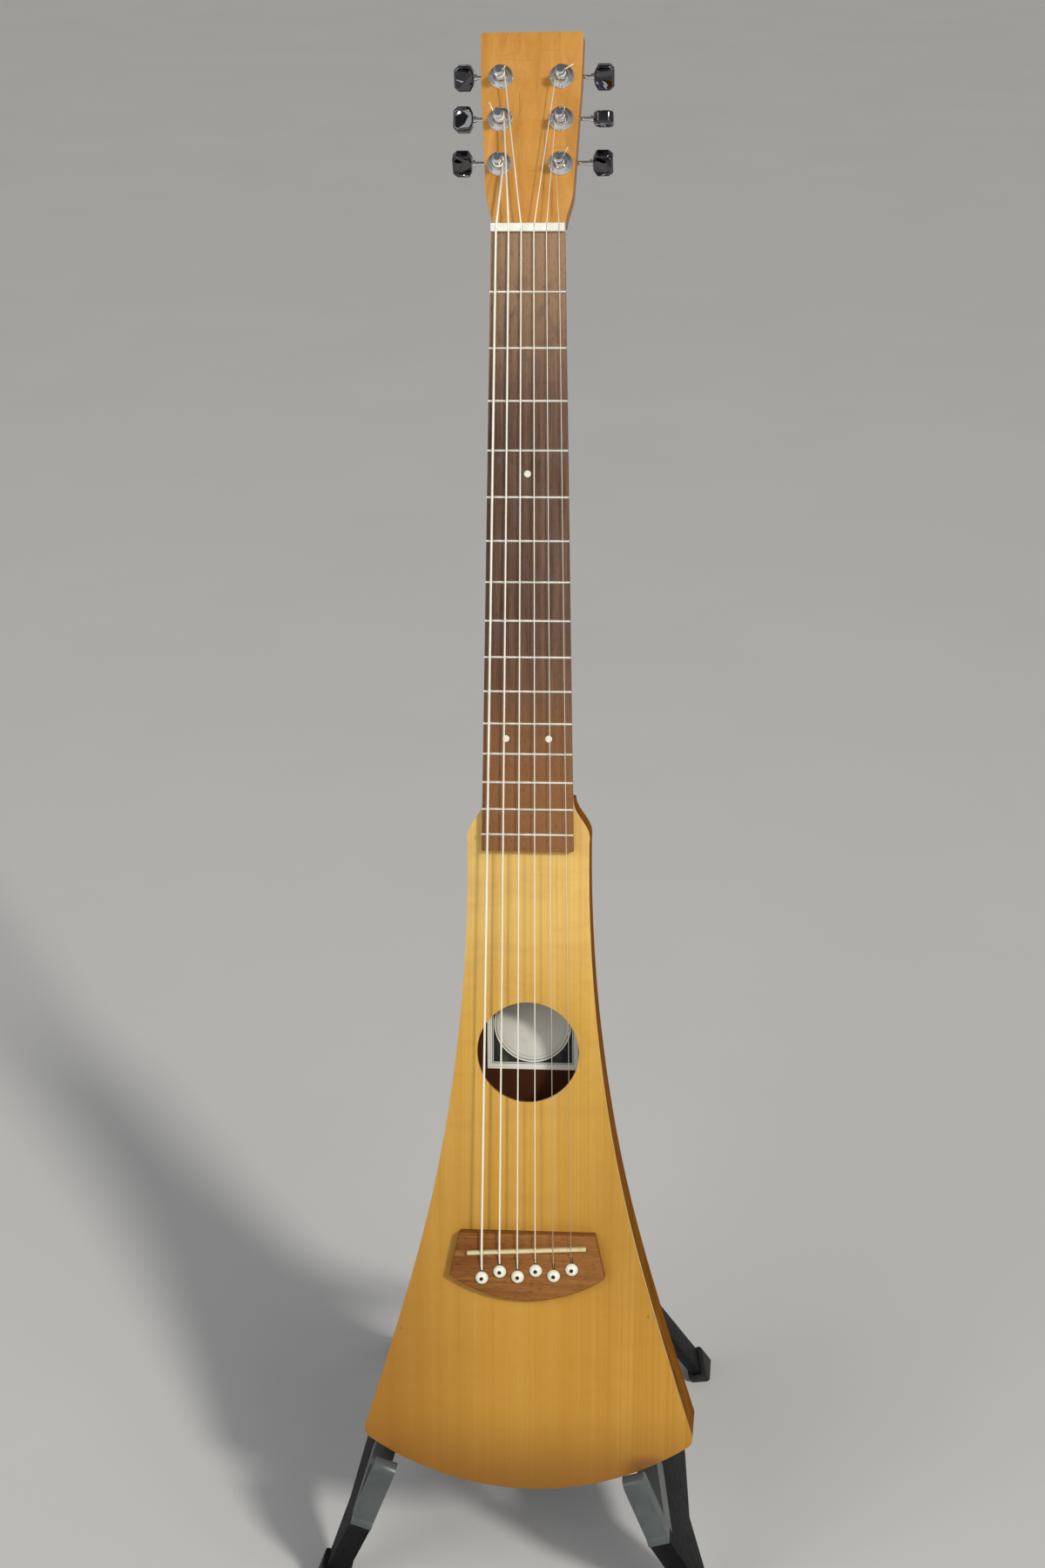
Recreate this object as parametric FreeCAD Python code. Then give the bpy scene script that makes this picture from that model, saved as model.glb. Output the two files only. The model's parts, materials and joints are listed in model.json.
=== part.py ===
import FreeCAD, Part
import math
import os

# A small wedge-bodied six-string travel guitar that rests on a folding A-frame stand.
# Millimetres. Row frame: +Z up, the soundboard faces -Y, +X is to the right as seen from the front,
# and the origin is on the floor under the centre of the whole object.
#
# The stand is drawn with the cradle's vertex at y = 0, and the whole object is moved at the end.
# The guitar is drawn in its own frame: x to the right, y backwards from the fretboard's playing
# surface, z up the neck from the front edge of the nut. The headstock has a frame of its own, tilted
# back from that one. Each stand leg is drawn flat, as a plate in its own plane, then leaned inwards.

Vec = FreeCAD.Vector
X_AXIS = Vec(1, 0, 0)
Y_AXIS = Vec(0, 1, 0)
Z_AXIS = Vec(0, 0, 1)

# Guitar: where it stands
LEAN = 15.0                      # backward lean of the fretboard from vertical, degrees
ROLL = -1.37                     # sideways turn on the stand, degrees
NUT_POS = Vec(-7.1, 189.1, 857.4)   # front edge of the nut, from the point under the cradle
CRADLE_Y = -151.2                # the cradle's vertex, in front of the object's middle
# Guitar: scale and neck
SCALE = 609.6                    # string length, nut to saddle
FRETS = 15
NUT_W = 42.9
NUT_T = 5.0
NUT_TOP = -2.4                   # how far the nut stands above the fretboard
BOARD_L = 363.5
BOARD_T = 6.0
BOARD_END_W = 55.0
FRET_W = 1.7
FRET_H = 1.0
TANG_W = 0.6
TANG_D = 1.8
DOT_R = 2.0
DOT_T = 1.5
DOUBLE_DOT_X = 12.7
NECK_END = 334.0                 # distance from the nut at which the body begins
TENON = (26.0, 19.0, 30.0)
ROD = (6.0, 8.0, 318.0)
# Guitar: headstock
HEAD_ANGLE = 11.0
HEAD_L = 113.0
HEAD_T = 14.5
HEAD_TOP_HALF = 30.1
# Guitar: body
TOP_T = 2.8
HOLE_S = 488.0                   # soundhole centre, from the nut
HOLE_R = 31.0
BOTTOM_S = 765.0                 # lowest point of the rounded bottom, from the nut
BOTTOM_R = 177.0
CORNER_HALF = 103.0
CORNER_S = BOTTOM_S - BOTTOM_R + math.sqrt(BOTTOM_R ** 2 - CORNER_HALF ** 2)
CORNER_R = 7.0
SHOULDER_S = 355.0
SHOULDER_HALF = 36.65
BACK_Y_SHOULDER = 38.0
BACK_Y_BOTTOM = 58.0
BACK_EDGE_R = 6.0
WALL = 6.0
BACK_T = 4.5
CAVITY_START = 396.0
# Guitar: bridge, saddle and pins
BRIDGE_H = 8.0
BRIDGE_TOP_S = 599.6
BRIDGE_TOP_HALF = 41.6
BRIDGE_SIDE_S = 626.6
BRIDGE_SIDE_HALF = 47.7
BRIDGE_LOW_S = 641.6
SADDLE_L = 72.6
SADDLE_T = 2.6
SADDLE_TOP = -5.0
SADDLE_SLANT = -0.0606           # change of distance from the nut per mm to the right
PIN_SPACING = 11.0
PIN_R = 2.5
PIN_HEAD_R = 3.95
PIN_L = 17.0
# Strings, from the thickest, at the left, to the thinnest
STRING_D = (1.37, 1.07, 0.81, 0.61, 0.41, 0.30)
NUT_SPREAD = 36.6
SADDLE_SPREAD = 54.5
STRING_LIFT = 1.6                # underside of the strings above the fretboard at the nut
# Tuners, in the headstock's frame
POST_X = 17.8
POST_Z = (35.3, 61.6, 86.7)
POST_R = 3.0
WAIST_R = 2.3
RUN = 0.05                       # radial running clearance
WASHER_R = 7.5
BARREL_R = 4.3
SHAFT_R = 1.4
WORM_R = 1.8
WHEEL_R = 3.5
GEAR_Y = 19.6
SHAFT_DZ = 5.6                   # worm shaft above the post's axis
BUTTON_X = 35.4
BUTTON = (12.0, 15.0, 7.2)
BUTTON_TURN = (40.0, 90.0, 62.0, -38.0, 4.0, -58.0)   # at rest: left low, mid, top, right low, mid, top
# Which string goes to which tuner: strings 6, 5, 4 up the left side and 1, 2, 3 up the right
TUNER_OF_STRING = (0, 1, 2, 5, 4, 3)
# Stand
VERTEX_Z = 84.0                  # height of the cradle's vertex
LEG_LEAN = 19.5                  # sideways lean of each leg plate, degrees
PIN_SPREAD = 17.0                # hinge pins, each side of the middle
LEG_LEN = 229.0                  # hinge pin to vertex, in the plate
LEG_T = 10.5
TOP_Y = 113.0                    # hinge pins' place behind the vertex, in the plate
FRONT_ARM = (52.0, 6.0)          # length and forward angle
REAR_ARM = (88.5, 56.6)          # length and backward angle
ARM_W = 6.4
REAR_ARM_W = 10.0
BAR_W = 18.0
FRONT_FOOT_Y = 35.0
REAR_FOOT_Y = 300.0
REAR_PIVOT = (109.4, 188.0)      # in the plate: behind the vertex, above the vertex
REAR_T = 7.0
REAR_GAP = 2.2
SLEEVE_WALL = 1.5
SLEEVE_PAD = 2.4
FOOT_H = 16.0
HINGE_PIN_R = 3.0
# The leg's thick web, as (behind the vertex, above the vertex): under the cradle, down to the foot,
# and back to the spine
WEB = [(-5.6, -0.6), (6.5, 0.7), (6.5, -4.6), (44.1, 20.2), (44.1, 29.0), (73.9, 48.7), (86.0, 96.0),
       (96.8, 104.0), (114.0, 8.0), (111.0, -16.0), (57.5, -33.0), (46.0, -65.0), (FRONT_FOOT_Y + 9, -75.0),
       (FRONT_FOOT_Y + 9, -110.0), (FRONT_FOOT_Y - 9, -110.0), (FRONT_FOOT_Y - 9, -75.0), (23.0, -62.0)]


def fret_distance(n):
    return SCALE * (1 - 2 ** (-n / 12))


def board_half(s):
    """Half the fretboard's width at distance s from the nut."""
    return (NUT_W + (BOARD_END_W - NUT_W) * s / BOARD_L) / 2


def box(x0, x1, y0, y1, z0, z1):
    return Part.makeBox(x1 - x0, y1 - y0, z1 - z0, Vec(x0, y0, z0))


def rod(a, b, r):
    """A round bar from point a to point b."""
    return Part.makeCylinder(r, (b - a).Length, a, b - a)


def fuse(shapes):
    return shapes[0].multiFuse(shapes[1:]).removeSplitter() if len(shapes) > 1 else shapes[0]


def spline(points, start=None, end=None):
    curve = Part.BSplineCurve()
    if start:
        curve.interpolate(Points=points, InitialTangent=start, FinalTangent=end)
    else:
        curve.interpolate(Points=points)
    return curve.toShape()


def revolve_y(profile, x, z):
    """A turned piece about a line along y through (x, z). The profile is (radius, y) pairs."""
    points = [Vec(x + r, y, z) for r, y in profile]
    face = Part.Face(Part.makePolygon(points + points[:1]))
    return face.revolve(Vec(x, 0, z), Y_AXIS, 360)


def placed(shape, placement):
    moved = shape.copy()
    moved.Placement = placement.multiply(moved.Placement)
    return moved


GUITAR = FreeCAD.Placement(
    NUT_POS, FreeCAD.Rotation(X_AXIS, -LEAN).multiply(FreeCAD.Rotation(Y_AXIS, ROLL)))
HEAD = FreeCAD.Placement(Vec(0, BOARD_T, NUT_T), FreeCAD.Rotation(X_AXIS, -HEAD_ANGLE))
HEAD_IN_ROW = GUITAR.multiply(HEAD)

solids = {}


# ---------------------------------------------------------------- strings

def string_x(i, spread):
    return spread * (i / 5 - 0.5)


def pin_place(i):
    """Across and along place of bridge pin i; the pins zigzag and follow the saddle's slant."""
    x = PIN_SPACING * (i - 2.5)
    s = (627.5 if i % 2 == 0 else 623.9) - 0.6 * i
    return x, s


def tuner_post(k):
    """Across and along place of tuner k in the headstock's frame; 0 to 2 go up the left side."""
    side = -1 if k < 3 else 1
    return side, side * POST_X, POST_Z[k % 3]


def winding_height(k):
    return 5.4 if k % 3 == 0 else 7.6


def winding_turns(d):
    if d > 1:
        return 2
    return 3 if d > 0.5 else 5


def string_path(i):
    """Centre line of string i: by the post, over the nut, over the saddle, into the bridge."""
    d = STRING_D[i]
    k = TUNER_OF_STRING[i]
    side, post_x, post_z = tuner_post(k)
    touch = HEAD.multVec(Vec(post_x - side * (WAIST_R + d / 2), -winding_height(k), post_z))
    at_nut = Vec(string_x(i, NUT_SPREAD), -STRING_LIFT - d / 2, NUT_T / 2)
    stop_short = math.sqrt((WAIST_R + d) ** 2 - WAIST_R ** 2) + 1.0
    start = touch + (at_nut - touch).normalize() * stop_short
    x = string_x(i, SADDLE_SPREAD)
    at_saddle = Vec(x, SADDLE_TOP - 0.1 - d / 2, -(SCALE + SADDLE_SLANT * x))
    pin_x, pin_s = pin_place(i)
    ahead = pin_s - PIN_HEAD_R - d / 2 - 0.2
    at_bridge = Vec(pin_x, BOARD_T - BRIDGE_H - 0.5, -ahead)
    inside = Vec(pin_x, BOARD_T - BRIDGE_H + 4.0, -(ahead + 0.5))
    return [start, at_nut, at_saddle, at_bridge, inside]


def string_solid(i, extra=0.0):
    points = string_path(i)
    r = STRING_D[i] / 2 + extra
    bars = [rod(a, b, r) for a, b in zip(points, points[1:])]
    bends = [Part.makeSphere(r, p) for p in points[1:-1]]
    return bars[0].multiFuse(bars[1:] + bends)


for i in range(6):
    solids["string_%d" % (6 - i)] = placed(string_solid(i), GUITAR)


# ---------------------------------------------------------------- fretboard, frets, nut and dots

def fretboard():
    outline = [Vec(-NUT_W / 2, 0, 0), Vec(NUT_W / 2, 0, 0),
               Vec(BOARD_END_W / 2, 0, -BOARD_L), Vec(-BOARD_END_W / 2, 0, -BOARD_L)]
    board = Part.Face(Part.makePolygon(outline + outline[:1])).extrude(Vec(0, BOARD_T, 0))
    slots = [box(-40, 40, 0, TANG_D, -fret_distance(n) - TANG_W / 2, -fret_distance(n) + TANG_W / 2)
             for n in range(1, FRETS + 1)]
    return board.cut(slots + dots())


def dots():
    low = (fret_distance(4) + fret_distance(5)) / 2
    high = (fret_distance(11) + fret_distance(12)) / 2
    places = [(0, low), (-DOUBLE_DOT_X, high), (DOUBLE_DOT_X, high)]
    return [Part.makeCylinder(DOT_R, DOT_T, Vec(x, 0, -s), Y_AXIS) for x, s in places]


def fret(n):
    s = fret_distance(n)
    half = board_half(s)
    x0 = -half - 0.25
    crown = Part.Wire([
        Part.Arc(Vec(x0, 0, -s - FRET_W / 2), Vec(x0, -FRET_H, -s), Vec(x0, 0, -s + FRET_W / 2)).toShape(),
        Part.makeLine(Vec(x0, 0, -s + FRET_W / 2), Vec(x0, 0, -s - FRET_W / 2))])
    bar = Part.Face(crown).extrude(Vec(2 * half + 0.5, 0, 0))
    inner = board_half(s - TANG_W)
    return bar.fuse(box(-inner, inner, 0, TANG_D, -s - TANG_W / 2, -s + TANG_W / 2))


def nut():
    block = box(-NUT_W / 2, NUT_W / 2, NUT_TOP, BOARD_T, 0, NUT_T)
    top_edges = [e for e in block.Edges
                 if e.BoundBox.YMax < NUT_TOP + 0.01 and e.BoundBox.XLength > 10]
    block = block.makeFillet(0.8, top_edges)
    for i in range(6):
        half = STRING_D[i] / 2 + 0.06
        x = string_x(i, NUT_SPREAD)
        block = block.cut([string_solid(i, 0.06),
                           box(x - half, x + half, NUT_TOP - 1, -STRING_LIFT - STRING_D[i] / 2, -1, 9)])
    return block


solids["fretboard"] = placed(fretboard(), GUITAR)
solids["frets"] = placed(Part.makeCompound([fret(n) for n in range(1, FRETS + 1)]), GUITAR)
solids["position_dots"] = placed(Part.makeCompound(dots()), GUITAR)
solids["nut"] = placed(nut(), GUITAR)


# ---------------------------------------------------------------- neck and headstock

def neck_section(s, depth):
    half = board_half(max(s, 0))
    arc = Part.Arc(Vec(-half, BOARD_T, -s), Vec(0, BOARD_T + depth, -s), Vec(half, BOARD_T, -s))
    return Part.Wire([arc.toShape(), Part.makeLine(Vec(half, BOARD_T, -s), Vec(-half, BOARD_T, -s))])


def headstock():
    """In the headstock's frame: front face at y = 0, z up from the nut."""
    flare = [(NUT_W / 2, 0.0), (22.3, 5.0), (24.2, 11.5), (25.6, 18.0)]
    side = [(29.4, 84.0), (HEAD_TOP_HALF, HEAD_L)]
    right_flare = spline([Vec(x, 0, z) for x, z in flare])
    left_flare = spline([Vec(-x, 0, z) for x, z in flare])
    corners = [flare[-1]] + side
    around = [Vec(x, 0, z) for x, z in corners] + [Vec(-x, 0, z) for x, z in reversed(corners)]
    lines = [Part.makeLine(a, b) for a, b in zip(around, around[1:])]
    base = Part.makeLine(Vec(-NUT_W / 2, 0, 0), Vec(NUT_W / 2, 0, 0))
    wire = Part.Wire(Part.__sortEdges__([right_flare, left_flare, base] + lines))
    slab = Part.Face(wire).extrude(Vec(0, HEAD_T, 0))
    corners = [e for e in slab.Edges if e.BoundBox.ZMin > HEAD_L - 0.1 and e.BoundBox.XLength < 0.1]
    slab = slab.makeFillet(2.0, corners)
    for k in range(6):
        side, x, z = tuner_post(k)
        slab = slab.cut([Part.makeCylinder(BARREL_R, 40, Vec(x, -10, z), Y_AXIS), screw(k)])
    return slab


def screw(k):
    side, x, z = tuner_post(k)
    centre_x = x - side * 1.0
    shank = Part.makeCylinder(1.1, 9.0, Vec(centre_x, HEAD_T + 2.0 - 9.0, z - 9.0), Y_AXIS)
    head = Part.makeCylinder(2.2, 1.2, Vec(centre_x, HEAD_T + 2.0, z - 9.0), Y_AXIS)
    return shank.fuse(head)


def screw_slots(k):
    """The cross recess in a screw's head."""
    side, x, z = tuner_post(k)
    top = HEAD_T + 3.2
    wide = box(x - side - 1.4, x - side + 1.4, top - 0.7, top + 1, z - 9.3, z - 8.7)
    return wide.fuse(box(x - side - 0.3, x - side + 0.3, top - 0.7, top + 1, z - 10.4, z - 7.6))


def neck():
    sections = [(-NUT_T, 14.2), (40, 14.6), (170, 15.4), (290, 17.0), (316, 21.5), (NECK_END, 31.0)]
    shaft = Part.makeLoft([neck_section(s, depth) for s, depth in sections], True, False)
    w, h, length = TENON
    tenon = box(-w / 2, w / 2, BOARD_T + TOP_T, BOARD_T + TOP_T + h, -NECK_END - length, -NECK_END)
    whole = fuse([shaft, placed(headstock(), HEAD), tenon])
    return whole.cut(truss_rod())


def truss_rod():
    w, h, length = ROD
    return box(-w / 2, w / 2, BOARD_T, BOARD_T + h, -10 - length, -10)


solids["neck"] = placed(neck(), GUITAR)
solids["truss_rod"] = placed(truss_rod(), GUITAR)


# ---------------------------------------------------------------- body

FLARE = [(board_half(NECK_END), NECK_END), (29.6, 341.5), (34.0, 348.0), (SHOULDER_HALF, SHOULDER_S + 4)]
SIDE = [FLARE[-1], (38.3, 430.0), (46.0, 507.0), (58.5, 577.0), (75.0, 641.0)]


def body_face(y, inset=0):
    """The body's outline, moved in by inset: flared shoulders, long flared sides and a round bottom."""
    half = CORNER_HALF - inset
    corner_s = BOTTOM_S - BOTTOM_R + math.sqrt((BOTTOM_R - inset) ** 2 - half ** 2)
    side = SIDE + [(CORNER_HALF, corner_s)]
    curves = [spline([Vec(sign * (x - inset), y, -s) for x, s in points])
              for points in (FLARE, side) for sign in (1, -1)]
    ends = [Vec(half, y, -corner_s), Vec(0, y, inset - BOTTOM_S), Vec(-half, y, -corner_s)]
    start = FLARE[0][0] - inset
    top = Part.makeLine(Vec(-start, y, -NECK_END), Vec(start, y, -NECK_END))
    return Part.Face(Part.Wire(Part.__sortEdges__(curves + [Part.Arc(*ends).toShape(), top])))


def round_corners(block):
    edges = [e for e in block.Edges
             if e.BoundBox.XLength < 0.1 and e.BoundBox.ZLength < 0.1
             and abs(abs(e.BoundBox.Center.x) - CORNER_HALF) < 0.1]
    return block.makeFillet(CORNER_R, edges)


def back_y(s):
    return BACK_Y_SHOULDER + (BACK_Y_BOTTOM - BACK_Y_SHOULDER) * (s - SHOULDER_S) / (BOTTOM_S - SHOULDER_S)


def wedge(s0, s1, lift):
    """Everything in front of the back's surface, moved forward by lift, between two distances."""
    y0 = BOARD_T + TOP_T
    outline = [Vec(-150, y0, -s0), Vec(-150, back_y(s0) - lift, -s0),
               Vec(-150, back_y(s1) - lift, -s1), Vec(-150, y0, -s1)]
    return Part.Face(Part.makePolygon(outline + outline[:1])).extrude(Vec(300, 0, 0))


def body_shell():
    y0 = BOARD_T + TOP_T
    block = round_corners(body_face(y0).extrude(Vec(0, 70, 0)))
    block = block.common(wedge(NECK_END - 5, BOTTOM_S + 5, 0))
    rim = [e for e in block.Edges if e.BoundBox.YMin > y0 + 20 and e.BoundBox.ZMax < -NECK_END - 0.5
           or e.BoundBox.YMin > y0 + 20 and e.BoundBox.ZLength > 1]
    block = block.makeFillet(BACK_EDGE_R, rim)
    inner = body_face(y0, WALL).extrude(Vec(0, 70, 0))
    block = block.cut(inner.common(wedge(CAVITY_START, BOTTOM_S, BACK_T)))
    w, h, length = TENON
    return block.cut(box(-w / 2, w / 2, y0, y0 + h, -NECK_END - length, -NECK_END + 1))


def soundboard():
    plate = round_corners(body_face(BOARD_T).extrude(Vec(0, TOP_T, 0)))
    hole = Part.makeCylinder(HOLE_R, 40, Vec(0, -10, -HOLE_S), Y_AXIS)
    return plate.cut([hole] + pin_shanks())


def inside_half(s):
    """Half the cavity's clear width at distance s, for the braces, from the outline's own points."""
    known = SIDE + [(CORNER_HALF, CORNER_S)]
    for (x0, s0), (x1, s1) in zip(known, known[1:]):
        if s <= s1:
            return x0 + (x1 - x0) * (s - s0) / (s1 - s0) - WALL - 2.5
    return 0


def top_braces():
    y0 = BOARD_T + TOP_T
    bars = []
    for s in (446.0, 532.0, 676.0):
        half = inside_half(s)
        bar = box(-half, half, y0, y0 + 9, -s - 4, -s + 4)
        low_edges = [e for e in bar.Edges if e.BoundBox.YMin > y0 + 8.9 and e.BoundBox.XLength > 10]
        bars.append(bar.makeChamfer(2.5, low_edges))
    for sign in (-1, 1):
        bars.append(box(sign * 34 - 3, sign * 34 + 3, y0, y0 + 7, -668, -604))
    return Part.makeCompound(bars)


def pin_shanks():
    shanks = []
    for i in range(6):
        x, s = pin_place(i)
        shanks.append(Part.makeCylinder(PIN_R, 60, Vec(x, -20, -s), Y_AXIS))
    return shanks


def bridge_plate():
    y0 = BOARD_T + TOP_T
    return box(-30.5, 30.5, y0, y0 + 2.4, -640, -606).cut(pin_shanks())


def label():
    """Paper on the inside of the back, under the soundhole."""
    tilt = math.degrees(math.atan((BACK_Y_BOTTOM - BACK_Y_SHOULDER) / (BOTTOM_S - SHOULDER_S)))
    sheet = box(-28.2, 28.2, -0.3, 0, 0, 76)
    turn = FreeCAD.Rotation(X_AXIS, tilt)
    return placed(sheet, FreeCAD.Placement(Vec(0, back_y(507.0) - BACK_T, -507.0), turn))


solids["body_shell"] = placed(body_shell(), GUITAR)
solids["soundboard"] = placed(soundboard(), GUITAR)
solids["top_braces"] = placed(top_braces(), GUITAR)
solids["bridge_plate"] = placed(bridge_plate(), GUITAR)
solids["label"] = placed(label(), GUITAR)


# ---------------------------------------------------------------- bridge

def saddle():
    """Rounded on top, slanted, in a slot in the bridge."""
    top_centre = SADDLE_TOP + SADDLE_T / 2
    bar = box(-SADDLE_L / 2, SADDLE_L / 2, top_centre, BOARD_T - 4, -SADDLE_T / 2, SADDLE_T / 2)
    crown = rod(Vec(-SADDLE_L / 2, top_centre, 0), Vec(SADDLE_L / 2, top_centre, 0), SADDLE_T / 2)
    turn = FreeCAD.Rotation(Y_AXIS, math.degrees(math.atan(SADDLE_SLANT)))
    return placed(fuse([bar, crown]), FreeCAD.Placement(Vec(0, 0, -SCALE), turn))


def bridge():
    top_y = BOARD_T - BRIDGE_H
    right = [Vec(BRIDGE_TOP_HALF, top_y, -BRIDGE_TOP_S), Vec(BRIDGE_SIDE_HALF, top_y, -BRIDGE_SIDE_S)]
    left = [Vec(-p.x, p.y, p.z) for p in right]
    edges = [Part.makeLine(left[0], right[0]), Part.makeLine(right[0], right[1]),
             Part.Arc(right[1], Vec(0, top_y, -BRIDGE_LOW_S), left[1]).toShape(),
             Part.makeLine(left[1], left[0])]
    block = Part.Face(Part.Wire(edges)).extrude(Vec(0, BRIDGE_H, 0))
    upright = [e for e in block.Edges if e.BoundBox.YLength > BRIDGE_H - 0.1]
    block = block.makeFillet(1.2, upright)
    rim = [e for e in block.Edges if e.BoundBox.YMax < top_y + 0.01]
    block = block.makeFillet(0.9, rim)
    notches = []
    for i in range(6):
        x, s = pin_place(i)
        half = STRING_D[i] / 2 + 0.35
        ahead = PIN_HEAD_R + STRING_D[i] + 0.8
        notches.append(box(x - half, x + half, top_y - 1, top_y + 5.0, -s, -s + ahead))
    return block.cut(pin_shanks() + notches + [saddle()])


def bridge_pins():
    top_y = BOARD_T - BRIDGE_H
    pins = []
    for i in range(6):
        x, s = pin_place(i)
        profile = [(0, top_y - 3.0), (1.6, top_y - 2.8), (3.1, top_y - 2.1), (3.8, top_y - 1.1),
                   (PIN_HEAD_R, top_y - 0.5), (PIN_HEAD_R - 0.3, top_y), (PIN_R, top_y),
                   (PIN_R, top_y + PIN_L - 1.5), (PIN_R - 1.2, top_y + PIN_L), (0, top_y + PIN_L)]
        pins.append(revolve_y(profile, x, -s))
    return Part.makeCompound(pins)


solids["bridge"] = placed(bridge(), GUITAR)
solids["saddle"] = placed(saddle(), GUITAR)
solids["bridge_pins"] = placed(bridge_pins(), GUITAR)


# ---------------------------------------------------------------- tuners

def bushing(k):
    side, x, z = tuner_post(k)
    bore = POST_R + RUN
    profile = [(bore, -3.2), (4.3, -3.2), (4.6, -2.6), (5.7, -1.9), (7.1, -1.0), (WASHER_R, 0),
               (BARREL_R, 0), (BARREL_R, 9), (bore, 9)]
    return revolve_y(profile, x, z)


def post(k):
    side, x, z = tuner_post(k)
    profile = [(0, -14.4), (2.0, -14.4), (3.0, -13.6), (POST_R, -11.6), (WAIST_R, -10.6), (WAIST_R, -4.0),
               (POST_R, -3.4), (POST_R, GEAR_Y - 1.6), (WHEEL_R, GEAR_Y - 1.6), (WHEEL_R, GEAR_Y + 1.6),
               (1.5, GEAR_Y + 1.6), (1.5, GEAR_Y + 4.0), (0, GEAR_Y + 4.0)]
    turned = revolve_y(profile, x, z)
    return turned.cut(Part.makeCylinder(0.85, 12, Vec(x - 6, -12.4, z), X_AXIS))


def winding(k, d):
    side, x, z = tuner_post(k)
    tall = winding_turns(d) * d
    y0 = -winding_height(k) - tall / 2
    ring = Part.makeCylinder(WAIST_R + d, tall, Vec(x, y0, z), Y_AXIS)
    ring = ring.makeChamfer(d * 0.3, [e for e in ring.Edges if e.Closed])
    return ring.cut(Part.makeCylinder(WAIST_R, 20, Vec(x, -20, z), Y_AXIS))


def housing(k):
    side, x, z = tuner_post(k)
    walls = (x - side * 7.5, x + side * 8.0)
    x0, x1 = min(walls), max(walls)
    y0, y1 = HEAD_T, HEAD_T + 11.0
    case = box(x0, x1, y0, y1, z - 6, z + 10.5)
    case = case.makeFillet(2.0, [e for e in case.Edges if e.BoundBox.YMax > y0 + 0.1])
    case = case.cut(box(x0 + 1.6, x1 - 1.6, y0 + 1.5, y1 - 1.5, z - 4.5, z + 9.0))
    lug = Part.makeCylinder(3.2, 2.0, Vec(x - side, y0, z - 9.0), Y_AXIS)
    lug = lug.fuse(box(x - side - 3.2, x - side + 3.2, y0, y0 + 2.0, z - 9.0, z - 5.9))
    case = case.fuse(lug)
    shaft_z = z + SHAFT_DZ
    bores = [Part.makeCylinder(POST_R + RUN, 3, Vec(x, y0 - 1, z), Y_AXIS),
             Part.makeCylinder(SHAFT_R + RUN, 6, Vec(x + side * 5.0, GEAR_Y, shaft_z), X_AXIS * side),
             screw(k)]
    return case.cut(bores)


def button(k):
    side, x, z = tuner_post(k)
    length, width, thick = BUTTON
    outline = [(0, 3.0), (2.4, width / 2), (length - 2.6, width / 2), (length, width / 2 - 2.4)]
    points = [Vec(a, b, -thick / 2) for a, b in outline]
    points += [Vec(a, -b, -thick / 2) for a, b in reversed(outline)]
    body = Part.Face(Part.makePolygon(points + points[:1])).extrude(Vec(0, 0, thick))
    body = body.makeFillet(1.3, body.Edges)
    collar = Part.makeCylinder(2.2, 2.0, Vec(-1.6, 0, 0), X_AXIS)
    body = fuse([body, collar])
    turn = FreeCAD.Rotation(X_AXIS, BUTTON_TURN[k])
    if side < 0:
        turn = FreeCAD.Rotation(Z_AXIS, 180).multiply(turn)
    shaft_z = z + SHAFT_DZ
    body = placed(body, FreeCAD.Placement(Vec(side * BUTTON_X, GEAR_Y, shaft_z), turn))
    start = x - side * 4.5
    shaft = rod(Vec(start, GEAR_Y, shaft_z), Vec(side * (BUTTON_X + 1), GEAR_Y, shaft_z), SHAFT_R)
    worm = rod(Vec(x - side * 3.5, GEAR_Y, shaft_z), Vec(x + side * 3.5, GEAR_Y, shaft_z), WORM_R)
    return fuse([body, shaft, worm])


solids["tuner_housings"] = placed(Part.makeCompound([housing(k) for k in range(6)]), HEAD_IN_ROW)
fasteners = [bushing(k) for k in range(6)] + [screw(k).cut(screw_slots(k)) for k in range(6)]
solids["tuner_fasteners"] = placed(Part.makeCompound(fasteners), HEAD_IN_ROW)
for i in range(6):
    k = TUNER_OF_STRING[i]
    number = 6 - i
    solids["tuner_post_%d" % number] = placed(post(k), HEAD_IN_ROW)
    solids["tuner_button_%d" % number] = placed(button(k), HEAD_IN_ROW)
    solids["string_winding_%d" % number] = placed(winding(k, STRING_D[i]), HEAD_IN_ROW)


# ---------------------------------------------------------------- stand

def direction(angle):
    """A unit vector in the leg's plane, at an angle backwards from straight up."""
    return Vec(0, math.sin(math.radians(angle)), math.cos(math.radians(angle)))


def bar(a, b, width, thick, off=0.0, round_ends=True):
    """A flat bar in the leg's plane from a to b. It is centred at x = off."""
    along = b - a
    angle = math.degrees(math.atan2(along.y, along.z))
    flat = box(off - thick / 2, off + thick / 2, -width / 2, width / 2, 0, along.Length)
    flat = placed(flat, FreeCAD.Placement(a, FreeCAD.Rotation(X_AXIS, -angle)))
    if not round_ends:
        return flat
    ends = [Part.makeCylinder(width / 2, thick, Vec(off - thick / 2, p.y, p.z), X_AXIS) for p in (a, b)]
    return flat.multiFuse(ends)


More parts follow.
